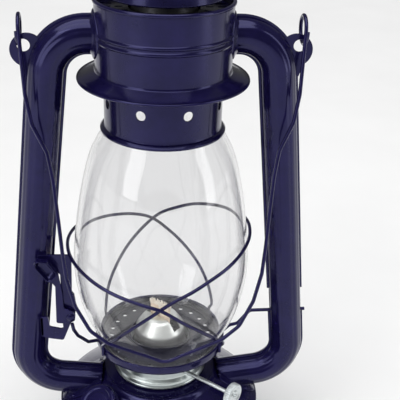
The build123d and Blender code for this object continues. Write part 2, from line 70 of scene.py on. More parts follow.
PLATE_R = 34.7
PLATE_Z = 80.6
PLATE_RIM_TOP = 84.2
GLASS = 1.9
GLOBE_OUTLINE = ((31.3, 81.8), (36.3, 92.0), (41.3, 103.0), (44.7, 118.0), (45.7, 133.0),
                 (43.8, 153.0), (40.6, 173.0), (36.4, 190.0), (30.6, 202.0), (29.0, 205.2))
GUARD_WIRE_R = 0.9
GUARD_A_PATH = ((0, 141.0), (30, 139.3), (60, 134.9), (84, 130.8), (105, 117.5), (128, 101.0), (149, 87.5))
GUARD_B_PATH = ((0, 149.3), (30, 147.6), (60, 142.0), (86, 133.6), (105, 120.5), (128, 101.5), (151, 87.5))
GUARD_A_STAND_OFF = 3.6
GUARD_B_STAND_OFF = 1.7
TUBE_R = 8.7
TUBE_BORE = 7.9
TUBE_TOP_Z = 250.6
TUBE_HALF_SPACING = 62.05
TUBE_WAIST_Z = 165.0
TUBE_SPLAY = 0.1021
TUBE_FOOT = (73.2, 57.4)
TUBE_INNER_END = (33.0, 52.4)
TUBE_BEND = (19.5, 19.5)
FIN_REACH = 1.0
FIN_HALF_THICK = 0.45
TUBE_SIDES = 72
TUBE_CREASES = (9.0, 40.0, 66.0)
CREASE_HALF_WIDTH = 5.5
CREASE_DEPTH = 0.32
EAR_CENTRE = (63.2, 242.9)
EAR_R = 8.1
EAR_HOLE = (64.8, 245.2)
EAR_HOLE_R = 3.0
CHAMBER_R = 32.5
CHAMBER_Z = (229.6, 266.9)
CHAMBER_BEADS = (252.6, 249.8)
SKIRT_R = 41.4
COLLAR_R = 28.6
COLLAR_RIM_R = 30.6
COLLAR_Z = (203.9, 231.4)
COLLAR_HOLES = 8
COLLAR_HOLE_Z = 219.7
COLLAR_HOLE_R = 2.4
FLUE_R = 15.5
FLUE_Z = (222.0, 285.0)
HOOD_R = 28.5
HOOD_Z = (270.0, 292.0)
CAP_R = 13.4
CAP_Z = (291.4, 296.4)
RING_PIVOT_Z = 298.6
RING_R = 11.0
RING_WIRE_R = 1.0
RING_FOLD = 94.0
LEVER_PIVOT = (-48.0, 102.1)
LEVER_OUTLINE = ((-55.5, 98.8), (-49.0, 98.0), (-45.8, 100.0), (-45.4, 103.6), (-47.5, 106.0),
                 (-51.3, 108.0), (-51.6, 116.0), (-53.3, 129.0), (-54.2, 131.1), (-58.0, 137.1),
                 (-63.9, 138.2), (-64.9, 136.6), (-64.6, 134.6), (-58.0, 125.2), (-55.2, 121.3))
THUMB_OUTLINE = ((-53.6, 129.6), (-54.2, 131.1), (-58.0, 137.1), (-63.9, 138.2), (-64.9, 136.6),
                 (-64.6, 134.6), (-58.0, 125.2))
THUMB_DEPTH = 3.2
BRACKET_OUTLINE = ((-54.8, 128.1), (-63.5, 129.5), (-63.5, 139.0), (-46.4, 138.4), (-46.9, 116.4),
                   (-45.7, 114.8), (-44.9, 108.0), (-45.8, 101.5), (-47.9, 97.6), (-52.3, 86.1),
                   (-59.9, 87.6), (-63.9, 89.2), (-63.9, 101.0), (-60.0, 101.4), (-59.2, 94.9),
                   (-52.1, 93.0), (-52.3, 96.2), (-52.6, 127.6))
BRACKET_FOOT = ((-63.9, -62.7), (-9.4, -5.0), (89.6, 100.6))
PIVOT_HOLE_R = 1.58
LEVER_Y = (-11.9, -10.7)
BRACKET_Y = (-9.4, -8.2)
LIFT_WIRE_R = 0.95
LIFT_SLOT_TRAVEL = 13.2
GUIDE_WIRE_Z = 95.0
BAIL_WIRE_R = 0.95
BAIL_EYE_X = 66.4
BAIL_EYE_R = 6.8
EYE_TURN = 352.0
EYE_SHIFT = 0.9
EYE_STEPS = 49
BAIL_AXIS = (3.0, 252.0)
BAIL_LEAN = 13.3
BAIL_HALF = ((64.4, 30.0), (61.9, 43.3), (55.3, 57.0), (53.0, 70.0), (51.0, 91.0), (49.8, 105.0),
             (48.2, 119.0), (44.2, 133.5), (37.2, 146.5), (28.6, 153.4), (17.6, 157.8), (9.2, 161.0))
BAIL_NOTCH = 165.0

WICK_FRAME = Matrix.Rotation(radians(WICK_TURN), 4, "Z")
SPINDLE_FRAME = WICK_FRAME @ Matrix.Translation((0, -SPINDLE_OFFSET, SPINDLE_Z))
ALONG_X = Matrix.Rotation(radians(90), 4, "Y")
FILLER_FRAME = (Matrix.Translation(FILLER_CENTRE) @ Matrix.Rotation(radians(FILLER_TURN), 4, "Z")
                @ Matrix.Rotation(radians(FILLER_TILT), 4, "Y"))


# ---- materials -----------------------------------------------------------------------------------
class Shader:
    """A node material being put together: one Principled shader and helpers to feed it."""

    def __init__(self, name):
        self.material = bpy.data.materials.new(name)
        self.material.use_nodes = True
        self.tree = self.material.node_tree
        self.bsdf = self.tree.nodes["Principled BSDF"]
        self.coords = self.tree.nodes.new("ShaderNodeTexCoord").outputs["Object"]

    def set(self, **values):
        for key, value in values.items():
            self.bsdf.inputs[key.replace("_", " ")].default_value = value

    def link(self, source, target):
        self.tree.links.new(source, target)

    def scaled(self, scale):
        """Object coordinates stretched by three factors."""
        mapping = self.tree.nodes.new("ShaderNodeMapping")
        mapping.inputs["Scale"].default_value = scale
        self.link(self.coords, mapping.inputs["Vector"])
        return mapping.outputs["Vector"]

    def noise(self, scale, detail=3.0, roughness=0.55, stretch=(1, 1, 1)):
        node = self.tree.nodes.new("ShaderNodeTexNoise")
        node.inputs["Scale"].default_value = scale
        node.inputs["Detail"].default_value = detail
        node.inputs["Roughness"].default_value = roughness
        self.link(self.scaled(stretch), node.inputs["Vector"])
        return node.outputs["Fac"]

    def wave(self, scale, direction, stretch=(1, 1, 1), distortion=0.0):
        node = self.tree.nodes.new("ShaderNodeTexWave")
        node.bands_direction = direction
        node.inputs["Scale"].default_value = scale
        node.inputs["Distortion"].default_value = distortion
        self.link(self.scaled(stretch), node.inputs["Vector"])
        return node.outputs["Fac"]

    def ramp(self, factor, stops):
        node = self.tree.nodes.new("ShaderNodeValToRGB")
        elements = node.color_ramp.elements
        while len(elements) < len(stops):
            elements.new(0.5)
        for element, (place, colour) in zip(elements, stops):
            element.position = place
            element.color = (*colour, 1)
        self.link(factor, node.inputs["Fac"])
        return node.outputs["Color"]

    def span(self, factor, low, high):
        """Maps 0..1 to low..high."""
        node = self.tree.nodes.new("ShaderNodeMapRange")
        node.inputs["To Min"].default_value = low
        node.inputs["To Max"].default_value = high
        self.link(factor, node.inputs["Value"])
        return node.outputs["Result"]

    def height_share(self, low, high):
        """0 below the first height and 1 above the second, both in mm."""
        split = self.tree.nodes.new("ShaderNodeSeparateXYZ")
        self.link(self.coords, split.inputs["Vector"])
        share = self.tree.nodes.new("ShaderNodeMapRange")
        share.inputs["From Min"].default_value = low / 1000
        share.inputs["From Max"].default_value = high / 1000
        self.link(split.outputs["Z"], share.inputs["Value"])
        return share.outputs["Result"]

    def mix(self, factor, first, second):
        node = self.tree.nodes.new("ShaderNodeMix")
        node.data_type = "RGBA"
        self.link(factor, node.inputs["Factor"])
        self.link(first, node.inputs[6])
        self.link(second, node.inputs[7])
        return node.outputs[2]

    def bump(self, height, strength, distance):
        """Adds a bump on top of what already feeds the normal."""
        node = self.tree.nodes.new("ShaderNodeBump")
        node.inputs["Strength"].default_value = strength
        node.inputs["Distance"].default_value = distance
        self.link(height, node.inputs["Height"])
        normal = self.bsdf.inputs["Normal"]
        if normal.is_linked:
            self.link(normal.links[0].from_socket, node.inputs["Normal"])
        self.link(node.outputs["Normal"], normal)


def enamel(name, deep, light, gloss=0.16, sheen=(0.42, 0.42, 1.0)):
    """Baked enamel on pressed steel: slight orange peel, cloudy colour, clear top coat."""
    s = Shader(name)
    cloud = s.noise(90, 4, 0.6)
    s.link(s.ramp(cloud, ((0.35, deep), (0.65, light))), s.bsdf.inputs["Base Color"])
    s.link(s.span(s.noise(240, 3), gloss - 0.04, gloss + 0.08), s.bsdf.inputs["Roughness"])
    s.set(IOR=1.5, Specular_Tint=(*sheen, 1), Coat_Weight=0.10, Coat_Roughness=0.04, Coat_IOR=1.5)
    s.bump(s.noise(420, 2, 0.5), 0.05, 0.0004)
    s.bump(s.noise(38, 1, 0.4), 0.10, 0.0012)
    return s.material


def plated(name, colour, dull, rough, lines=(1, 1, 14), painted_reflection_band=None):
    """Tin or nickel plated steel, with spinning or drawing marks and a cloudy dull film.

    The last argument gives two heights in mm: below the first the metal is painted dark, a painted reflection
    of the dark globe plate beneath it, and from the second up it has its plain colour.
    """
    s = Shader(name)
    cloud = s.noise(160, 4, 0.6)
    plate_colour = s.ramp(cloud, ((0.3, dull), (0.6, colour)))
    # painted reflection: below the first height the metal is darkened to stand for the dark plate mirrored in
    # it
    if painted_reflection_band:
        dark = s.ramp(cloud, ((0.3, (0.03, 0.03, 0.035)), (0.6, (0.06, 0.06, 0.07))))
        plate_colour = s.mix(s.height_share(*painted_reflection_band), dark, plate_colour)
    s.link(plate_colour, s.bsdf.inputs["Base Color"])
    s.link(s.span(s.noise(300, 4), rough - 0.05, rough + 0.10), s.bsdf.inputs["Roughness"])
    s.set(Metallic=1.0)
    s.bump(s.noise(700, 2, 0.5, lines), 0.015, 0.0001)
    return s.material


def clear_glass():
    """Blown clear glass with faint waves; lamps' light passes straight through."""
    s = Shader("globe_glass")
    s.set(Base_Color=(0.905, 0.905, 0.91, 1), IOR=1.46, Transmission_Weight=1.0)
    s.link(s.span(s.noise(30, 2), 0.0, 0.035), s.bsdf.inputs["Roughness"])
    s.bump(s.noise(22, 1, 0.4, (1, 1, 0.35)), 0.12, 0.0015)
    nodes = s.tree.nodes
    through = nodes.new("ShaderNodeBsdfTransparent")
    through.inputs["Color"].default_value = (0.94, 0.94, 0.945, 1)
    path = nodes.new("ShaderNodeLightPath")
    mix = nodes.new("ShaderNodeMixShader")
    s.link(path.outputs["Is Shadow Ray"], mix.inputs["Fac"])
    s.link(s.bsdf.outputs["BSDF"], mix.inputs[1])
    s.link(through.outputs["BSDF"], mix.inputs[2])
    s.link(mix.outputs["Shader"], nodes["Material Output"].inputs["Surface"])
    return s.material


def woven_cotton(name, pale, dark):
    """Flat woven wick: threads both ways, with uneven natural colour."""
    s = Shader(name)
    warp = s.wave(560, "X", (cos(radians(WICK_TURN)), 1, 1), 0.6)
    weft = s.wave(620, "Z", (1, 1, 1), 0.6)
    threads = s.mix(s.noise(900, 2), warp, weft)
    s.link(s.ramp(s.noise(260, 5), ((0.3, dark), (0.7, pale))), s.bsdf.inputs["Base Color"])
    s.set(Roughness=0.92, Sheen_Weight=0.4, Sheen_Roughness=0.5)
    s.bump(threads, 0.5, 0.0004)
    s.bump(s.noise(1500, 3), 0.3, 0.0002)
    return s.material


def rubber(name):
    s = Shader(name)
    s.link(s.ramp(s.noise(300, 4), ((0.3, (0.015, 0.015, 0.015)), (0.7, (0.04, 0.04, 0.04)))),
           s.bsdf.inputs["Base Color"])
    s.set(Roughness=0.7)
    s.bump(s.noise(900, 3), 0.2, 0.0002)
    return s.material


NAVY = enamel("navy_enamel", (0.004, 0.003, 0.024), (0.007, 0.005, 0.038))
NAVY_DARK = enamel("hood_enamel", (0.004, 0.003, 0.020), (0.007, 0.006, 0.035), 0.22)
PLATE_DARK = enamel("plate_enamel", (0.022, 0.022, 0.026), (0.036, 0.036, 0.042), 0.30, (0.7, 0.7, 0.8))
TIN = plated("tin_plate", (0.56, 0.61, 0.60), (0.48, 0.53, 0.52), 0.30)
# the dome's lower edge carries a painted reflection of the dark globe plate, dark below 84.5 mm and plain
# from 88 mm up
DOME_PLATE = plated("bright_dome_plate", (0.66, 0.68, 0.65), (0.60, 0.62, 0.60), 0.30, painted_reflection_band=(84.5, 88.0))
NICKEL = plated("nickel_plate", (0.66, 0.70, 0.71), (0.58, 0.62, 0.63), 0.34, (3, 3, 3))
BARE_STEEL = plated("bare_steel", (0.46, 0.46, 0.47), (0.34, 0.33, 0.33), 0.34)
GLASS_CLEAR = clear_glass()
COTTON = woven_cotton("wick_cotton", (0.78, 0.66, 0.50), (0.60, 0.45, 0.32))
COTTON_PALE = woven_cotton("wick_frayed_cotton", (0.92, 0.88, 0.80), (0.78, 0.70, 0.58))
RUBBER = rubber("gasket_rubber")


# ---- mesh helpers, in millimetres ----------------------------------------------------------------
def rounded(points, radius, steps=8):
    """An open polyline whose corners are rounded by tangent arcs."""
    pts = [Vector(p).to_3d() for p in points]
    radii = list(radius) if isinstance(radius, (list, tuple)) else [radius] * (len(pts) - 2)
    out = [pts[0]]
    for index, (before, corner, after, r) in enumerate(zip(pts, pts[1:], pts[2:], radii)):
        u = (before - corner).normalized()
        v = (after - corner).normalized()
        angle = u.angle(v)
        if r <= 0 or angle > pi - 0.02:
            out.append(corner)
            continue
        # an end run has one corner only, and a run between two corners is shared
        room_before = (before - corner).length * (0.97 if index == 0 else 0.48)
        room_after = (after - corner).length * (0.97 if index == len(radii) - 1 else 0.48)
        reach = min(r / tan(angle / 2), room_before, room_after)
        r = reach * tan(angle / 2)
        centre = corner + (u + v).normalized() * (r / sin(angle / 2))
        start = (corner + u * reach - centre).normalized()
        end = (corner + v * reach - centre).normalized()
        for step in range(steps + 1):
            out.append(centre + start.slerp(end, step / steps) * r)
    out.append(pts[-1])
    return out


def smooth_path(points, count):
    """Points evenly along a Catmull-Rom curve through the given points."""
    pts = [Vector(p) for p in points]
    pts = [pts[0] * 2 - pts[1]] + pts + [pts[-1] * 2 - pts[-2]]
    fine = []
    for a, b, c, d in zip(pts, pts[1:], pts[2:], pts[3:]):
        for step in range(24):
            t = step / 24
            fine.append(0.5 * (2 * b + (c - a) * t + (2 * a - 5 * b + 4 * c - d) * t * t
                               + (3 * b - a - 3 * c + d) * t * t * t))
    fine.append(pts[-2])
    return evenly(fine, count)


def evenly(line, count):
    """The same line with its points evenly spaced."""
    lengths = [0.0]
    for a, b in zip(line, line[1:]):
        lengths.append(lengths[-1] + (b - a).length)
    out = []
    at = 0
    for index in range(count):
        want = lengths[-1] * index / (count - 1)
        while at < len(line) - 2 and lengths[at + 1] < want:
            at += 1
        part = (want - lengths[at]) / max(lengths[at + 1] - lengths[at], 1e-9)
        out.append(line[at].lerp(line[at + 1], min(part, 1.0)))
    return out


def sheet_outline(line, thickness):
    """Closed outline of a bent sheet: a (radius, height) line and the same line offset to its left."""
    pts = [Vector(p).to_2d() for p in line]
    inner = []
    for index, p in enumerate(pts):
        before = (p - pts[index - 1]).normalized() if index else None
        after = (pts[index + 1] - p).normalized() if index < len(pts) - 1 else None
        normals = [Vector((-d.y, d.x)) for d in (before, after) if d is not None]
        normal = sum(normals, Vector((0, 0))).normalized()
        inner.append(p + normal * thickness / max(normal.dot(normals[0]), 0.3))
    inner = [Vector((max(p.x, 0.0), p.y)) for p in inner]
    return pts + inner[::-1]


def to_object(name, mesh_data, material, sharp=38):
    """Makes an object in metres from a bmesh in millimetres, with its sharp edges marked."""
    bmesh.ops.remove_doubles(mesh_data, verts=mesh_data.verts, dist=1e-4)
    bmesh.ops.recalc_face_normals(mesh_data, faces=mesh_data.faces)
    bmesh.ops.scale(mesh_data, vec=(MM, MM, MM), verts=mesh_data.verts)
    mesh = bpy.data.meshes.new(name)
    mesh_data.to_mesh(mesh)
    mesh_data.free()
    mesh.shade_smooth()
    mesh.set_sharp_from_angle(angle=radians(sharp))
    obj = bpy.data.objects.new(name, mesh)
    bpy.context.scene.collection.objects.link(obj)
    obj.data.materials.append(material)
    return obj


def add_lathe(mesh_data, outline, segments=144, place=Matrix.Identity(4), wobble=None):
    """Revolves a closed (radius, height) outline. wobble(angle, radius, height) moves the radius."""
    rings = []
    for r, z in [(p[0], p[1]) for p in outline]:
        if r < 1e-6:
            rings.append([mesh_data.verts.new(place @ Vector((0, 0, z)))])
            continue
        ring = []
        for index in range(segments):
            angle = 2 * pi * index / segments
            reach = r + (wobble(angle, r, z) if wobble else 0)
            ring.append(mesh_data.verts.new(place @ Vector((reach * cos(angle), reach * sin(angle), z))))
        rings.append(ring)
    for first, second in zip(rings, rings[1:] + rings[:1]):
        if len(first) == 1 and len(second) == 1:
            continue
        for index in range(segments):
            after = (index + 1) % segments
            if len(first) == 1:
                mesh_data.faces.new((first[0], second[index], second[after]))
            elif len(second) == 1:
                mesh_data.faces.new((first[index], second[0], first[after]))
            else:
                mesh_data.faces.new((first[index], second[index], second[after], first[after]))


def lathe(name, outline, material, segments=144, place=Matrix.Identity(4), wobble=None, sharp=38):
    mesh_data = bmesh.new()
    add_lathe(mesh_data, outline, segments, place, wobble)
    return to_object(name, mesh_data, material, sharp)


def bridge(mesh_data, rings, joined=False):
    """Faces between neighbouring rings of one size; joined also ties the last ring to the first."""
    pairs = list(zip(rings, rings[1:]))
    if joined:
        pairs.append((rings[-1], rings[0]))
    size = len(rings[0])
    for first, second in pairs:
        for index in range(size):
            after = (index + 1) % size
            mesh_data.faces.new((first[index], first[after], second[after], second[index]))


def close_ends(mesh_data, rings):
    mesh_data.faces.new(rings[0][::-1])
    mesh_data.faces.new(rings[-1])


def add_sweep(mesh_data, path, profile, up=None, closed=False):
    """Sweeps a closed profile of (side, up) points along a path of points."""
    count = len(path)
    tangents = []
    for index in range(count):
        if closed:
            tangents.append((path[(index + 1) % count] - path[index - 1]).normalized())
        else:
            tangents.append((path[min(index + 1, count - 1)] - path[max(index - 1, 0)]).normalized())
    normal = up if up is not None else tangents[0].orthogonal().normalized()
    rings = []
    for point, tangent in zip(path, tangents):
        normal = (normal - tangent * normal.dot(tangent)).normalized()
        side = tangent.cross(normal)
        rings.append([mesh_data.verts.new(point + side * u + normal * v) for u, v in profile])
    bridge(mesh_data, rings, closed)
    if not closed:
        close_ends(mesh_data, rings)


def circle(radius, count=16):
    return [(radius * cos(2 * pi * k / count), radius * sin(2 * pi * k / count)) for k in range(count)]


def wire(name, path, radius, material, sides=14, closed=False):
    mesh_data = bmesh.new()
    add_sweep(mesh_data, path, circle(radius, sides), closed=closed)
    return to_object(name, mesh_data, material, 50)


def add_plate(mesh_data, outline, y_low, y_high):
    """Plate in the XZ plane from (x, z) points."""
    front = [mesh_data.verts.new((x, y_low, z)) for x, z in outline]
    back = [mesh_data.verts.new((x, y_high, z)) for x, z in outline]
    mesh_data.faces.new(front)
    mesh_data.faces.new(back[::-1])
    size = len(outline)
    for index in range(size):
        after = (index + 1) % size
        mesh_data.faces.new((front[index], back[index], back[after], front[after]))


def soften(obj, width, segments=2, angle=40):
    """Rounds the sharp edges of a plate-like piece."""
    bevel = obj.modifiers.new("rounded_edges", "BEVEL")
    bevel.width = width * MM
    bevel.segments = segments
    bevel.angle_limit = radians(angle)
    bevel.harden_normals = True
    return obj


def cut(obj, cutters):
    """Subtracts closed bmeshes (in millimetres) from a piece, and removes them."""
    for mesh_data in cutters:
        cutter = to_object("cutter", mesh_data, NAVY)
        boolean = obj.modifiers.new("cut", "BOOLEAN")
        boolean.operation = "DIFFERENCE"
        boolean.solver = "EXACT"
        boolean.object = cutter
        bpy.context.view_layer.update()
        made = bpy.data.meshes.new_from_object(obj.evaluated_get(bpy.context.evaluated_depsgraph_get()))
        obj.modifiers.remove(boolean)
        obj.data = made
        bpy.data.objects.remove(cutter)
    obj.data.shade_smooth()
    obj.data.set_sharp_from_angle(angle=radians(38))
    return obj


def rod(radius, start, end, sides=32):
    """A closed bmesh of a round rod between two points."""
    mesh_data = bmesh.new()
    add_sweep(mesh_data, [Vector(start), Vector(end)], circle(radius, sides))
    return mesh_data


def block(size, place):
    """A closed bmesh of a box, placed by a matrix."""
    mesh_data = bmesh.new()
    bmesh.ops.create_cube(mesh_data, size=1, matrix=place @ Matrix.Diagonal((*size, 1)))
    return mesh_data


def piece(obj, body, slot, *nodes):
    if nodes:
        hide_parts(*nodes)
    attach(obj, body)
    return obj


def keep_node(name, material):
    """A CAD node that stays as it is, with a better material."""
    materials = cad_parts[name].data.materials
    materials.clear()
    materials.append(material)


def value_along(table, key):
    """The value that a table of (key, value) pairs gives at a key between its rows."""
    for (k0, v0), (k1, v1) in zip(table, table[1:]):
        if k0 <= key <= k1:
            return v0 + (v1 - v0) * (key - k0) / (k1 - k0)
    return table[-1][1] if key > table[-1][0] else table[0][1]


# ---- fuel tank -----------------------------------------------------------------------------------
def tank():
    foot = rounded(((46.9, 3.5), (49.4, 0.0), (51.9, 0.0), (TANK_R, 6.0), (TANK_R, 39.0)), [1.2, 1.4, 3.0])
    line = [Vector((0, 3.5, 0)), Vector((30, 3.5, 0))] + foot
    mesh_data = bmesh.new()
    add_lathe(mesh_data, sheet_outline(line, SHEET), 180)
    piece(to_object("tank_body", mesh_data, NAVY), "frame", "enamel", "tank_cup")

    corners = ((SEAM_R, 39.6), (SEAM_R, 42.4)) + TANK_SHOULDER
    line = rounded(corners, [0.9, 1.0, 4.0, 3.0])
    # embossed ring round the burner and a shallow step inside the shoulder
    line = [Vector((p.x, p.y + 0.9 * max(0.0, 1 - ((p.x - 31.2) / 1.8) ** 2), 0)) for p in evenly(line, 150)]
    top = lathe("tank_dome", sheet_outline(line, SHEET), NAVY, 180)
    neck = rod(8.05, FILLER_FRAME @ Vector((0, 0, -6)), FILLER_FRAME @ Vector((0, 0, 6)), 48)
    cut(top, [neck])
    piece(top, "frame", "enamel", "tank_top")


def burner_seat():
    outline = rounded(((20.1, 59.6), (SOCKET_R, 59.6), (SOCKET_R, 65.2), (20.9, 66.2), (20.1, 66.2)), 0.4, 3)
    mesh_data = bmesh.new()
    add_lathe(mesh_data, outline)
    piece(to_object("burner_seat", mesh_data, NAVY), "frame", "burner_plate", "burner_socket")


def filler():
    outline = rounded(((7.1, -2.5), (8.0, -2.5), (8.0, 6.7), (7.8, 6.9), (7.1, 6.9)), 0.1, 2)
    neck = lathe("filler_tube", outline, TIN, 64, FILLER_FRAME)
    piece(neck, "frame", "burner_plate", "filler_neck")
    skin = [(0, 9.4), (5.0, 9.4), (5.6, 9.0), (7.2, 9.0), (7.8, 9.4), (9.1, 9.4), (10.0, 9.0),
            (FILLER_CAP_R, 8.1), (FILLER_CAP_R, 3.6), (10.1, 2.9), (9.9, 2.4), (8.3, 2.4), (8.3, 8.6),
            (0, 8.6)]
    lines = rounded(skin, 0.35, 3)

    def fluted(angle, r, z):
        grip = 1.0 if 3.4 < z < 8.4 and r > 9.7 else 0.0
        return -grip * FLUTE_DEPTH * max(0.0, cos(angle * CAP_FLUTES)) ** 2

    cap = lathe("filler_screw_cap", lines, NAVY, CAP_FLUTES * 10, FILLER_FRAME, fluted, 50)
    piece(cap, "cap", "enamel", "filler_cap")
    keep_node("filler_gasket", RUBBER)


# ---- burner --------------------------------------------------------------------------------------
def burner_body():
    outline = rounded(((19.3, 60.8), (20.0, 60.8), (20.0, 66.5), (24.6, 66.5), (24.6, 62.9), (24.9, 62.6),
                       (25.3, 62.8), (25.3, 63.7), (24.9, 64.2), (25.2, 64.9), (24.9, 66.2), (24.1, 66.9),
                       (23.3, 67.6), (CUP_R, 68.4), (CUP_R, 75.2), (22.9, 76.0), (22.4, 76.0), (22.4, 67.3),
                       (19.3, 67.3)), 0.25, 3)
    cup = lathe("burner_body", outline, TIN)
    drill = rod(SPINDLE_R + 0.1, SPINDLE_FRAME @ Vector((8, 0, 0)), SPINDLE_FRAME @ Vector((32, 0, 0)), 24)
    cut(cup, [drill])
    piece(cup, "frame", "burner_plate", "burner_cup")


def burner_hood():
    low, high = DOME_Z
    line = rounded(((DOME_R + 1.2, low), (DOME_R, low), (DOME_R - 0.8, 87.5), (8.4, high), (0, high)),
                   [0.4, 6.0, 5.0], 14)
    dome = lathe("burner_dome_shell", sheet_outline(line, 0.7), DOME_PLATE, 160)
    slot = block((20.5, 5.4, 17.0), WICK_FRAME @ Matrix.Translation((1.8, 0, high)))
    cut(dome, [slot])
    piece(dome, "frame", "burner_plate", "burner_dome")


def wick_strip():
    """Woven strip in two ribs with a line between them, and a frayed, uneven top."""
    low, high = WICK_Z
    half_w, half_t = WICK_WIDTH / 2, WICK_THICK / 2
    mesh_data = bmesh.new()
    for side in (-1, 1):
        rib_half = half_w / 2 - 0.15
        profile = []
        for k in range(28):
            a = 2 * pi * k / 28
            u = rib_half * (1 if cos(a) >= 0 else -1) * abs(cos(a)) ** 0.45
            v = half_t * (1 if sin(a) >= 0 else -1) * abs(sin(a)) ** 0.55
            profile.append((side * half_w / 2 + u, v))
        rings = []
        for level in range(181):
            z = low + (high - 1.0 - low) * level / 180
            ripple = 1 + 0.03 * sin(z * 6.0)
            rings.append([mesh_data.verts.new(WICK_FRAME @ Vector((u, v * ripple, z))) for u, v in profile])
        bridge(mesh_data, rings)
        close_ends(mesh_data, rings)
    piece(to_object("wick_strip", mesh_data, COTTON, 60), "wick", "cotton", "wick")

    rng = random.Random(7)
    mesh_data = bmesh.new()
    for _ in range(230):
        u = rng.uniform(-half_w + 0.3, half_w - 0.3)
        v = rng.uniform(-half_t + 0.3, half_t - 0.3)
        tip_z = high + rng.uniform(-0.6, 1.3)
        lean = Vector((u * 0.10 + rng.uniform(-0.7, 0.7), v * 0.25 + rng.uniform(-0.5, 0.5), 0))
        base = Vector((u, v, high - 2.2))
        middle = Vector((u, v, high - 0.6)) + lean * 0.3
        tip = Vector((u, v, tip_z)) + lean
        thread = circle(rng.uniform(0.14, 0.26), 6)
        add_sweep(mesh_data, [WICK_FRAME @ p for p in (base, middle, tip)], thread)
    piece(to_object("wick_frayed_end", mesh_data, COTTON_PALE, 60), "wick", "cotton")


def wick_winder():
    rod_line = rounded(((0, -9.0), (SPINDLE_R, -9.0), (SPINDLE_R, 55.6), (0.7, 56.2), (0, 56.2)), 0.2, 3)
    shaft = lathe("winder_shaft", rod_line, NICKEL, 32, SPINDLE_FRAME @ ALONG_X)
    piece(shaft, "knob", "bright_steel", "wick_spindle")

    low, high = KNOB_REACH
    face = rounded(((1.1, low), (3.0, low), (3.4, low + 0.5), (5.2, low + 0.5), (5.6, low), (5.9, low),
                    (KNOB_R, low + 0.4), (KNOB_R, high - 0.4), (5.9, high), (5.1, high), (4.6, high - 0.7),
                    (3.0, high - 0.8), (2.4, high - 0.1), (1.1, high - 0.1)), 0.25, 3)

    def milled(angle, r, z):
        return -MILL_DEPTH * max(0.0, cos(angle * KNOB_TEETH)) ** 1.5 if r > KNOB_R - 0.3 else 0.0

    knob = lathe("winder_wheel", face, NICKEL, KNOB_TEETH * 10, SPINDLE_FRAME @ ALONG_X, milled, 50)
    piece(knob, "knob", "bright_steel", "wick_knob")


# ---- frame ---------------------------------------------------------------------------------------
def tube_centre_x(z):
    return TUBE_HALF_SPACING + (TUBE_WAIST_Z - z) * TUBE_SPLAY


def tube_path(side):
    top_corner = (tube_centre_x(TUBE_TOP_Z), TUBE_TOP_Z)
    corners = ((CHAMBER_R - 1.0, TUBE_TOP_Z), top_corner, TUBE_FOOT, TUBE_INNER_END)
    return rounded([(side * x, 0, z) for x, z in corners], TUBE_BEND, 22)


def fin_profile():
    """Tube section with a seam fin on the inner and outer side, and creases beside each fin."""
    upper = []
    for k in range(TUBE_SIDES // 2):
        a = 2 * pi * (k + 0.5) / TUBE_SIDES
        away = abs(((degrees(a) + 90) % 180) - 90)
        crease = max(max(0.0, 1 - abs(away - at) / CREASE_HALF_WIDTH) for at in TUBE_CREASES)
        reach = TUBE_R - CREASE_DEPTH * crease
        if reach * sin(a) > FIN_HALF_THICK:
            upper.append((reach * cos(a), reach * sin(a)))
    lower = [(-u, -v) for u, v in upper]
    tip = TUBE_R + FIN_REACH
    right = [(TUBE_R - 0.1, -FIN_HALF_THICK), (tip - 0.15, -FIN_HALF_THICK), (tip, -0.25), (tip, 0.25),
             (tip - 0.15, FIN_HALF_THICK), (TUBE_R - 0.1, FIN_HALF_THICK)]
    left = [(-u, -v) for u, v in right]
    return right + upper + left + lower


def side_tubes():
    for side, label in ((-1, "left"), (1, "right")):
        path = tube_path(side)
        mesh_data = bmesh.new()
        add_sweep(mesh_data, path, fin_profile(), up=Vector((0, 1, 0)))
        tube = to_object(f"air_tube_{label}", mesh_data, NAVY, 30)
        cutters = [tank_cutter(), rod_z(CHAMBER_R + 0.4, 225, 275)]
        if side > 0:
            bottom = GUIDE_WIRE_Z - LIFT_WIRE_R - 0.3
            height = LIFT_SLOT_TRAVEL + 2 * LIFT_WIRE_R + 0.6
            cutters.append(block((30, 2.5, height), Matrix.Translation((70, 0, bottom + height / 2))))
        cut(tube, cutters)
        piece(tube, "frame", "enamel", f"side_tube_{label}")
        ear(side, label)


def tank_cutter():
    mesh_data = bmesh.new()
    outline = [(0, 0), (TANK_R + 0.8, 0)] + [(r, z + 0.8) for r, z in TANK_SHOULDER] + [(0, 63)]
    add_lathe(mesh_data, outline, 120)
    return mesh_data


def rod_z(radius, low, high):
    return rod(radius, (0, 0, low), (0, 0, high), 120)


def ear(side, label):
    """Bail ear: rounded tab on the tube's seam, with a rimmed hole."""
    x0, z0 = EAR_CENTRE
    outline = []
    for k in range(33):
        a = radians(-62 + 250 * k / 32)
        outline.append((x0 + EAR_R * cos(a), z0 + EAR_R * sin(a)))
    outline += [(x0 - 7.6, z0 - 6), (x0 - 7, z0 - 13), (x0 + 2.2, z0 - 13), (x0 + 3.0, z0 - 10.4)]
    if side < 0:
        outline = [(-x, z) for x, z in outline][::-1]
    mesh_data = bmesh.new()
    add_plate(mesh_data, outline, -0.6, 0.6)
    tab = to_object(f"bail_ear_{label}", mesh_data, NAVY)
    hx, hz = EAR_HOLE
    cut(tab, [rod(EAR_HOLE_R, (side * hx, -3, hz), (side * hx, 3, hz), 40)])
    soften(tab, 0.3)
    piece(tab, "frame", "enamel")


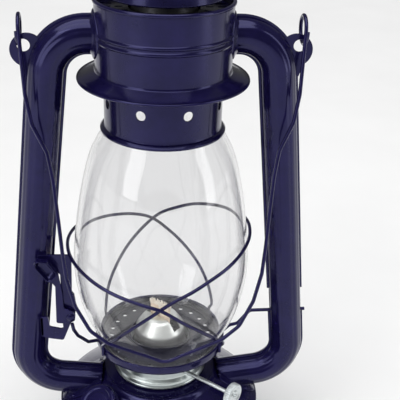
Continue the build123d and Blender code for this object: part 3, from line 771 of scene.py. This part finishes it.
def saddles():
    """Flange round the foot of each tube, following the tank, with weld dimples."""
    slope = atan2(TUBE_FOOT[1] - TUBE_INNER_END[1], TUBE_FOOT[0] - TUBE_INNER_END[0])
    shoulder = ((0.0, 63.0),) + TANK_SHOULDER[::-1] + ((54.9, 40.0),)
    for side, label in ((-1, "left"), (1, "right")):
        mesh_data = bmesh.new()
        rings = []
        rows = ((TUBE_R - 0.1, 1.5), (TUBE_R + 0.3, 1.25), (TUBE_R + 1.0, 1.05), (TUBE_R + 3.4, 1.0),
                (TUBE_R + 3.8, 0.75), (TUBE_R + 3.8, 0.15))
        for reach, lift in rows:
            ring = []
            for k in range(96):
                a = 2 * pi * k / 96
                ring.append(on_tank(side, reach * cos(a), reach * sin(a), lift, slope, shoulder))
            rings.append([mesh_data.verts.new(p) for p in ring])
        bridge(mesh_data, rings)
        for angle in (35, 90, 145, 215, 270, 325):
            a = radians(angle)
            reach = TUBE_R + 2.1
            centre = on_tank(side, reach * cos(a), reach * sin(a), 0.85, slope, shoulder)
            bmesh.ops.create_uvsphere(mesh_data, u_segments=16, v_segments=8, radius=0.95,
                                      matrix=Matrix.Translation(centre) @ Matrix.Diagonal((1, 1, 0.6, 1)))
        piece(to_object(f"tube_flange_{label}", mesh_data, NAVY), "frame", "enamel", "tube_saddles")


def on_tank(side, across, up, lift, slope, shoulder):
    """Where a line parallel to the lower tube, offset across and up from it, meets the tank top."""
    low, high = 0.0, 40.0
    start = Vector((TUBE_FOOT[0], 0, TUBE_FOOT[1])) + Vector((-sin(slope) * up, across, cos(slope) * up))
    step = Vector((-cos(slope), 0, -sin(slope)))
    for _ in range(40):
        middle = (low + high) / 2
        p = start + step * middle
        if p.z < value_along(shoulder, hypot(p.x, p.y)) + lift:
            high = middle
        else:
            low = middle
    p = start + step * low
    return Vector((side * p.x, p.y, p.z))


def chamber():
    low, high = CHAMBER_Z
    inner_r = CHAMBER_R - SHEET
    wall = [(CHAMBER_R, low + 1.0)]
    z = low + 1.0
    while z < high - 0.8:
        z += 0.25
        swell = sum(0.55 * max(0.0, 1 - ((z - b) / 1.0) ** 2) for b in CHAMBER_BEADS)
        wall.append((CHAMBER_R + swell, z))
    roll = [(CHAMBER_R - 0.2 + 1.0 * cos(a), high + 1.0 * sin(a)) for a in
            [radians(-55 + 260 * k / 14) for k in range(15)]]
    outline = [(COLLAR_R + 0.5, low), (CHAMBER_R - 0.4, low), (CHAMBER_R, low + 0.4)] + wall + roll + \
        [(inner_r, high - 1.2), (inner_r, low + SHEET), (COLLAR_R + 0.5, low + SHEET)]
    body = lathe("air_chamber_wall", outline, NAVY, 180)
    cut(body, [rod(TUBE_BORE, (CHAMBER_R - 12, 0, TUBE_TOP_Z), (CHAMBER_R + 12, 0, TUBE_TOP_Z), 64),
               rod(TUBE_BORE, (-CHAMBER_R + 12, 0, TUBE_TOP_Z), (-CHAMBER_R - 12, 0, TUBE_TOP_Z), 64)])
    piece(body, "frame", "enamel", "air_chamber")

    root = CHAMBER_R + 0.05
    slope = ((root, low + 4.9), (root + 0.3, low + 4.0), (root + 2.0, low + 3.3), (SKIRT_R - 0.6, low + 0.55))
    line = rounded(slope, [0.8, 1.2], 5)
    edge = [(SKIRT_R - 0.75 + 0.7 * cos(a), low + 0.4 + 0.7 * sin(a)) for a in
            [radians(60 - 300 * k / 12) for k in range(13)]]
    outline = [(p.x, p.y) for p in line] + edge + [(root + 2.0, low + 2.5), (root, low + 3.3)]
    piece(lathe("rain_skirt", outline, NAVY, 180), "frame", "enamel", "chamber_skirt")


def bosses():
    """Raised ring pressed in the chamber wall round each tube's mouth."""
    for side, label in ((-1, "left"), (1, "right")):
        mesh_data = bmesh.new()
        rings = []
        for reach, lift in ((TUBE_R - 0.2, 2.2), (TUBE_R + 0.5, 1.5), (TUBE_R + 1.2, 1.1),
                            (TUBE_R + 2.2, 0.85), (TUBE_R + 2.9, 0.3), (TUBE_R + 3.0, -0.2)):
            ring = []
            for k in range(96):
                a = 2 * pi * k / 96
                y = reach * cos(a)
                z = TUBE_TOP_Z + reach * sin(a)
                x = (CHAMBER_R ** 2 - y * y) ** 0.5 + lift
                ring.append(mesh_data.verts.new((side * x, y, z)))
            rings.append(ring)
        bridge(mesh_data, rings)
        piece(to_object(f"tube_boss_{label}", mesh_data, NAVY), "frame", "enamel", "tube_bosses")


# ---- chimney -------------------------------------------------------------------------------------
def chimney():
    low, high = COLLAR_Z
    inner = COLLAR_R - SHEET
    outline = rounded(((30.1, low), (COLLAR_RIM_R, low + 0.35), (COLLAR_RIM_R, low + 1.2),
                       (29.6, low + 2.2), (COLLAR_R + 0.1, low + 2.6), (COLLAR_R, low + 4.2),
                       (COLLAR_R, high - 0.6),
                       (COLLAR_R - 0.6, high), (FLUE_R + 0.05, high), (FLUE_R + 0.05, high - SHEET),
                       (inner, high - SHEET), (inner, low + 2.5), (29.9, low + 0.5)), 0.3, 4)
    collar = lathe("chimney_collar_shell", outline, NAVY, 180)
    holes = []
    for index in range(COLLAR_HOLES):
        a = radians(-70 + 360 / COLLAR_HOLES * index)
        holes.append(rod(COLLAR_HOLE_R, (20 * cos(a), 20 * sin(a), COLLAR_HOLE_Z),
                         (36 * cos(a), 36 * sin(a), COLLAR_HOLE_Z), 32))
    cut(collar, holes)
    piece(collar, "chimney", "enamel", "chimney_collar")

    low, high = FLUE_Z
    line = rounded(((FLUE_R + 3.4, low), (FLUE_R, low + 6), (FLUE_R, high)), 5.0)
    piece(lathe("flue", sheet_outline(line, SHEET), BARE_STEEL, 96), "chimney", "bare_steel", "chimney_flue")

    low, high = HOOD_Z
    line = rounded(((HOOD_R - 0.9, low), (HOOD_R - 0.9, low + 9), (21.0, low + 16.5), (CAP_R - 2, high),
                    (5.0, high + 0.6)), [4.0, 6.0, 4.0], 10)
    roll = [Vector((HOOD_R - 0.75 + 0.75 * cos(a), low + 0.75 * sin(a), 0)) for a in
            [radians(-170 + 190 * k / 12) for k in range(13)]]
    outline = sheet_outline(roll + line[1:], 0.6)
    piece(lathe("rain_hood", outline, NAVY_DARK, 180), "chimney", "enamel", "hood")

    low, high = CAP_Z
    outline = rounded(((0, high), (3.0, high), (8.0, high - 0.6), (CAP_R - 0.6, low + 1.7),
                       (CAP_R, low + 1.2), (CAP_R - 0.1, low + 0.6), (CAP_R - 0.8, low + 0.6),
                       (8.0, high - 1.6), (2.2, high - 1.2), (2.2, low + 1.6), (0, low + 1.6)), 0.4, 4)
    mesh_data = bmesh.new()
    add_lathe(mesh_data, outline, 120)
    arch = [Vector((0, 2.35 * cos(a), RING_PIVOT_Z - 0.4 + 2.35 * sin(a))) for a in
            [radians(-35 + 250 * k / 30) for k in range(31)]]
    strap = [(-0.35, -1.3), (-0.35, 1.3), (0.35, 1.3), (0.35, -1.3)]
    add_sweep(mesh_data, arch, strap, up=Vector((1, 0, 0)))
    piece(to_object("hood_finial", mesh_data, NAVY_DARK), "chimney", "enamel", "hood_cap")
    keep_node("hood_struts", NAVY_DARK)


def ring():
    fold = Matrix.Translation((0, 0, RING_PIVOT_Z)) @ Matrix.Rotation(radians(-RING_FOLD), 4, "X")
    path = [fold @ Vector((RING_R * sin(2 * pi * k / 96), 0, RING_R - RING_R * cos(2 * pi * k / 96)))
            for k in range(96)]
    hoop = wire("lifting_ring_wire", path, RING_WIRE_R, NAVY, 16, closed=True)
    piece(hoop, "ring", "enamel", "lifting_ring")


# ---- globe carrier -------------------------------------------------------------------------------
def globe():
    outer = smooth_path([(r, z, 0) for r, z in GLOBE_OUTLINE], 70)
    inner = []
    for index, p in enumerate(outer):
        ahead = outer[min(index + 1, len(outer) - 1)] - outer[max(index - 1, 0)]
        inner.append(p + Vector((-ahead.y, ahead.x, 0)).normalized() * GLASS)
    lip_low = [Vector((31.0, 81.6, 0)), Vector((30.0, 81.6, 0))]
    lip_high = [Vector((28.5, 205.5, 0)), Vector((27.6, 205.5, 0))]
    closed = lip_low[:1] + outer + lip_high + inner[::-1] + lip_low[1:]
    piece(lathe("globe", closed, GLASS_CLEAR, 192, sharp=80), "carrier", "glass", "globe_glass")


def globe_floor():
    keep_node("globe_plate", PLATE_DARK)
    outline = rounded(((PLATE_R - 1.0, PLATE_RIM_TOP - 1.0), (PLATE_R - 0.9, PLATE_RIM_TOP + 0.25),
                       (PLATE_R - 0.3, PLATE_RIM_TOP + 0.6), (PLATE_R + 0.5, PLATE_RIM_TOP + 0.2),
                       (PLATE_R + 0.45, 81.6), (PLATE_R + 0.25, 80.2), (PLATE_R - 0.8, 80.15),
                       (PLATE_R - 0.8, 80.3), (PLATE_R + 0.02, 80.4),
                       (PLATE_R + 0.02, PLATE_RIM_TOP)), 0.25, 3)
    piece(lathe("plate_rim", outline, NAVY, 180), "carrier", "enamel")


def guard_path(path, stand_off, side):
    """A guard wire's route round the globe, from (angle, height) pairs of its one half."""
    last = path[-1][0]
    heights = [(height, radius) for radius, height in GLOBE_OUTLINE]
    half = []
    for index in range(13):
        angle = last * index / 12
        z = value_along(path, angle)
        reach = value_along(heights, z) + stand_off
        half.append((side * reach * cos(radians(angle)), reach * sin(radians(angle)), z))
    foot = PLATE_R + GUARD_WIRE_R + 0.3
    for z in (PLATE_RIM_TOP + 0.6, PLATE_Z + 0.8):
        half.append((side * foot * cos(radians(last)), foot * sin(radians(last)), z))
    points = [(x, -y, z) for x, y, z in reversed(half)] + half[1:]
    return smooth_path(points, 260)


def carrier_wires():
    low = guard_path(GUARD_A_PATH, GUARD_A_STAND_OFF, -1)
    piece(wire("guard_hoop_a", low, GUARD_WIRE_R, NAVY), "carrier", "enamel", "guard_wire_a")
    high = guard_path(GUARD_B_PATH, GUARD_B_STAND_OFF, 1)
    piece(wire("guard_hoop_b", high, GUARD_WIRE_R, NAVY), "carrier", "enamel", "guard_wire_b")
    points = [(PLATE_R + 0.6, 0, 82.4), (38.6, 0, 85.6), (43.0, 0, 86.6), (49.5, 0, GUIDE_WIRE_Z),
              (80.2, 0, GUIDE_WIRE_Z)]
    guide = wire("guide_rod", rounded(points, 2.5, 8), LIFT_WIRE_R, NAVY)
    piece(guide, "carrier", "enamel", "guide_wire")


# ---- globe lift ----------------------------------------------------------------------------------
def lift_gear():
    x, z = LEVER_PIVOT
    mesh_data = bmesh.new()
    add_plate(mesh_data, round_loop(BRACKET_OUTLINE, 1.2), *BRACKET_Y)
    bracket = to_object("lever_plate", mesh_data, NAVY)
    middle = [sum(pair) / 2 for pair in BRACKET_FOOT]
    sizes = [pair[1] - pair[0] for pair in BRACKET_FOOT]
    foot = to_object("lever_plate_foot", block(sizes, Matrix.Translation(middle)), NAVY)
    pivot_hole = rod(PIVOT_HOLE_R, (x, -14, z), (x, -6, z), 24)
    for obj, tools in ((bracket, [tube_tool(), pivot_hole]), (foot, [tube_tool()])):
        cut(obj, tools)
        soften(obj, 0.25)
    piece(bracket, "frame", "enamel", "lever_bracket")
    piece(foot, "frame", "enamel")

    mesh_data = bmesh.new()
    add_plate(mesh_data, round_loop(LEVER_OUTLINE, 1.0), *LEVER_Y)
    lever = soften(to_object("thumb_lever", mesh_data, NAVY), 0.3)
    piece(lever, "lever", "enamel", "lift_lever")
    piece(thumb_cup(), "lever", "enamel")

    rivet = rounded(((0, -1.0), (1.0, -1.0), (2.0, -0.6), (2.4, 0.0), (1.5, 0.0), (1.5, 4.0), (2.4, 4.0),
                     (2.3, 4.6), (1.2, 4.9), (0, 4.9)), 0.3, 3)
    place = Matrix.Translation((x, LEVER_Y[0], z)) @ Matrix.Rotation(radians(-90), 4, "X")
    piece(lathe("lever_pin", rivet, NAVY, 32, place), "lever", "bright_steel", "lever_rivet")

    front = LEVER_Y[0] - LIFT_WIRE_R - 0.02
    points = [(-47.3, front, 99.0), (-46.6, front, 95.0), (-44.6, -9.0, 88.4), (-41.8, -6.0, 84.0),
              (-39.4, -3.5, 80.2), (-35.5, -1.0, 79.0), (-30.5, 0, 79.0)]
    lift_rod = wire("lift_rod", rounded(points, 1.5, 8), LIFT_WIRE_R, NAVY)
    piece(lift_rod, "lever", "enamel", "lift_wire")


def round_loop(outline, radius):
    """A closed outline of (x, z) points with its corners rounded."""
    line = rounded(tuple(outline) + tuple(outline[:2]), radius, 4)
    return [(p.x, p.y) for p in line[1:-1]]


def tube_tool():
    """The left tube's outer shape, to cut the plates that lie against it."""
    mesh_data = bmesh.new()
    add_sweep(mesh_data, tube_path(-1), circle(TUBE_R + 0.02, 48), up=Vector((0, 1, 0)))
    return mesh_data


def thumb_cup():
    """Rim and hollow of the thumb piece, rolled forward from the lever's face."""
    outline = [Vector((px, 0, pz)) for px, pz in round_loop(THUMB_OUTLINE, 1.8)]
    centre = sum(outline, Vector()) / len(outline)
    front = LEVER_Y[0] - THUMB_DEPTH
    rows = ((1.0, LEVER_Y[0] + 0.3), (1.03, LEVER_Y[0] - 0.8), (1.05, front + 0.6), (1.02, front),
            (0.93, front), (0.88, front + 0.5), (0.82, front + 1.6), (0.66, LEVER_Y[0] - 0.5),
            (0.40, LEVER_Y[0] - 0.15))
    mesh_data = bmesh.new()
    rings = []
    for scale, y in rows:
        rings.append([mesh_data.verts.new(centre + (p - centre) * scale + Vector((0, y, 0)))
                      for p in outline])
    bridge(mesh_data, rings)
    close_ends(mesh_data, rings)
    return to_object("thumb_cup", mesh_data, NAVY, 50)


# ---- bail ----------------------------------------------------------------------------------------
def carrying_bail():
    y_axis, z_axis = BAIL_AXIS
    lean = radians(BAIL_LEAN)
    y_start = y_axis - BAIL_EYE_R * cos(lean)
    z_start = z_axis + BAIL_EYE_R * sin(lean)

    def place(x, down):
        return Vector((x, y_start - down * sin(lean), z_start - down * cos(lean)))

    half = [place(BAIL_EYE_X, 0)] + [place(x, down) for x, down in BAIL_HALF]
    mirrored = [Vector((-p.x, p.y, p.z)) for p in half]
    path = rounded(half + [place(0, BAIL_NOTCH)] + mirrored[::-1], 9.0, 8)
    # each end turns nearly once round into the eye, and moves a little outwards
    turn = []
    for k in range(1, EYE_STEPS + 1):
        a = radians(180 - BAIL_LEAN - EYE_TURN * k / EYE_STEPS)
        x = BAIL_EYE_X + EYE_SHIFT * k / EYE_STEPS
        turn.append(Vector((x, y_axis + BAIL_EYE_R * cos(a), z_axis + BAIL_EYE_R * sin(a))))
    far_turn = [Vector((-p.x, p.y, p.z)) for p in turn]
    path = turn[::-1] + path + far_turn
    piece(wire("carrying_wire", path, BAIL_WIRE_R, NAVY, 16), "bail", "enamel", "bail")


# ---- everything together -------------------------------------------------------------------------
tank()
burner_seat()
filler()
burner_body()
burner_hood()
wick_strip()
wick_winder()
side_tubes()
saddles()
chamber()
bosses()
keep_node("chamber_top_plate", NAVY_DARK)
chimney()
ring()
globe()
globe_floor()
carrier_wires()
lift_gear()
carrying_bail()
for node_name in ("burner_floor", "burner_deck", "wick_tube"):
    keep_node(node_name, TIN)
keep_node("wick_spurs", NICKEL)


# ---- floor, light and camera, in metres ----------------------------------------------------------
CAMERA_PLACE = (-0.027156, -0.384379, 0.356817)
CAMERA_ROLL = 2.06
LENS = 75.8
SENSOR_WIDTH = 36
ROOM_SEEN_IN_GLOSS = 0.16
ROOM_SEEN_DIRECTLY = 0.95
AIM = (0, 0, 0.16)


def studio():
    floor_mesh = bmesh.new()
    bmesh.ops.create_grid(floor_mesh, x_segments=8, y_segments=8, size=3000)
    s = Shader("studio_floor")
    s.link(s.ramp(s.noise(6, 3), ((0.3, (0.86, 0.86, 0.86)), (0.7, (0.90, 0.90, 0.90)))),
           s.bsdf.inputs["Base Color"])
    s.set(Roughness=0.85)
    to_object("studio_floor", floor_mesh, s.material)

    # the object mirrors a dim room, while the air behind it and seen through the glass is pale
    world = bpy.data.worlds.new("studio")
    bpy.context.scene.world = world
    world.use_nodes = True
    tree = world.node_tree
    dim = tree.nodes["Background"]
    dim.inputs["Color"].default_value = (1, 1, 1, 1)
    dim.inputs["Strength"].default_value = ROOM_SEEN_IN_GLOSS
    pale = tree.nodes.new("ShaderNodeBackground")
    pale.inputs["Strength"].default_value = ROOM_SEEN_DIRECTLY
    path = tree.nodes.new("ShaderNodeLightPath")
    seen = tree.nodes.new("ShaderNodeMath")
    seen.operation = "MAXIMUM"
    mix = tree.nodes.new("ShaderNodeMixShader")
    tree.links.new(path.outputs["Is Camera Ray"], seen.inputs[0])
    tree.links.new(path.outputs["Is Transmission Ray"], seen.inputs[1])
    tree.links.new(seen.outputs[0], mix.inputs["Fac"])
    tree.links.new(dim.outputs[0], mix.inputs[1])
    tree.links.new(pale.outputs[0], mix.inputs[2])
    tree.links.new(mix.outputs[0], tree.nodes["World Output"].inputs["Surface"])

    def softbox(name, place, width, height, power):
        light = bpy.data.lights.new(name, "AREA")
        light.shape = "RECTANGLE"
        light.size = width
        light.size_y = height
        light.energy = power
        lamp = bpy.data.objects.new(name, light)
        bpy.context.scene.collection.objects.link(lamp)
        lamp.location = place
        lamp.rotation_euler = (Vector(AIM) - Vector(place)).to_track_quat("-Z", "Y").to_euler()

    softbox("key_left", (-0.70, -0.60, 0.60), 0.45, 1.0, 3.6)
    softbox("fill_right", (0.85, -0.35, 0.50), 0.30, 1.0, 2.2)
    sun = bpy.data.lights.new("overhead", "SUN")
    sun.energy = 2.6
    sun.angle = radians(70)
    lamp = bpy.data.objects.new("overhead", sun)
    bpy.context.scene.collection.objects.link(lamp)
    lamp.rotation_euler = (radians(12), radians(-8), 0)


def camera():
    """In front, above and a little to the lamp's left, tilted down and rolled a little."""
    data = bpy.data.cameras.new("camera")
    data.sensor_width = SENSOR_WIDTH
    data.lens = LENS
    data.clip_start = 0.01
    eye = bpy.data.objects.new("camera", data)
    bpy.context.scene.collection.objects.link(eye)
    right = Vector((0.99268, -0.12077, 0))
    up = Vector((0.05387, 0.44282, 0.89499))
    roll = radians(CAMERA_ROLL)
    x_axis = right * cos(roll) + up * sin(roll)
    y_axis = up * cos(roll) - right * sin(roll)
    z_axis = x_axis.cross(y_axis)
    turn = Matrix((x_axis, y_axis, z_axis)).transposed().to_4x4()
    eye.matrix_world = Matrix.Translation(CAMERA_PLACE) @ turn
    bpy.context.scene.camera = eye


studio()
camera()
bpy.context.scene.view_settings.view_transform = "Standard"
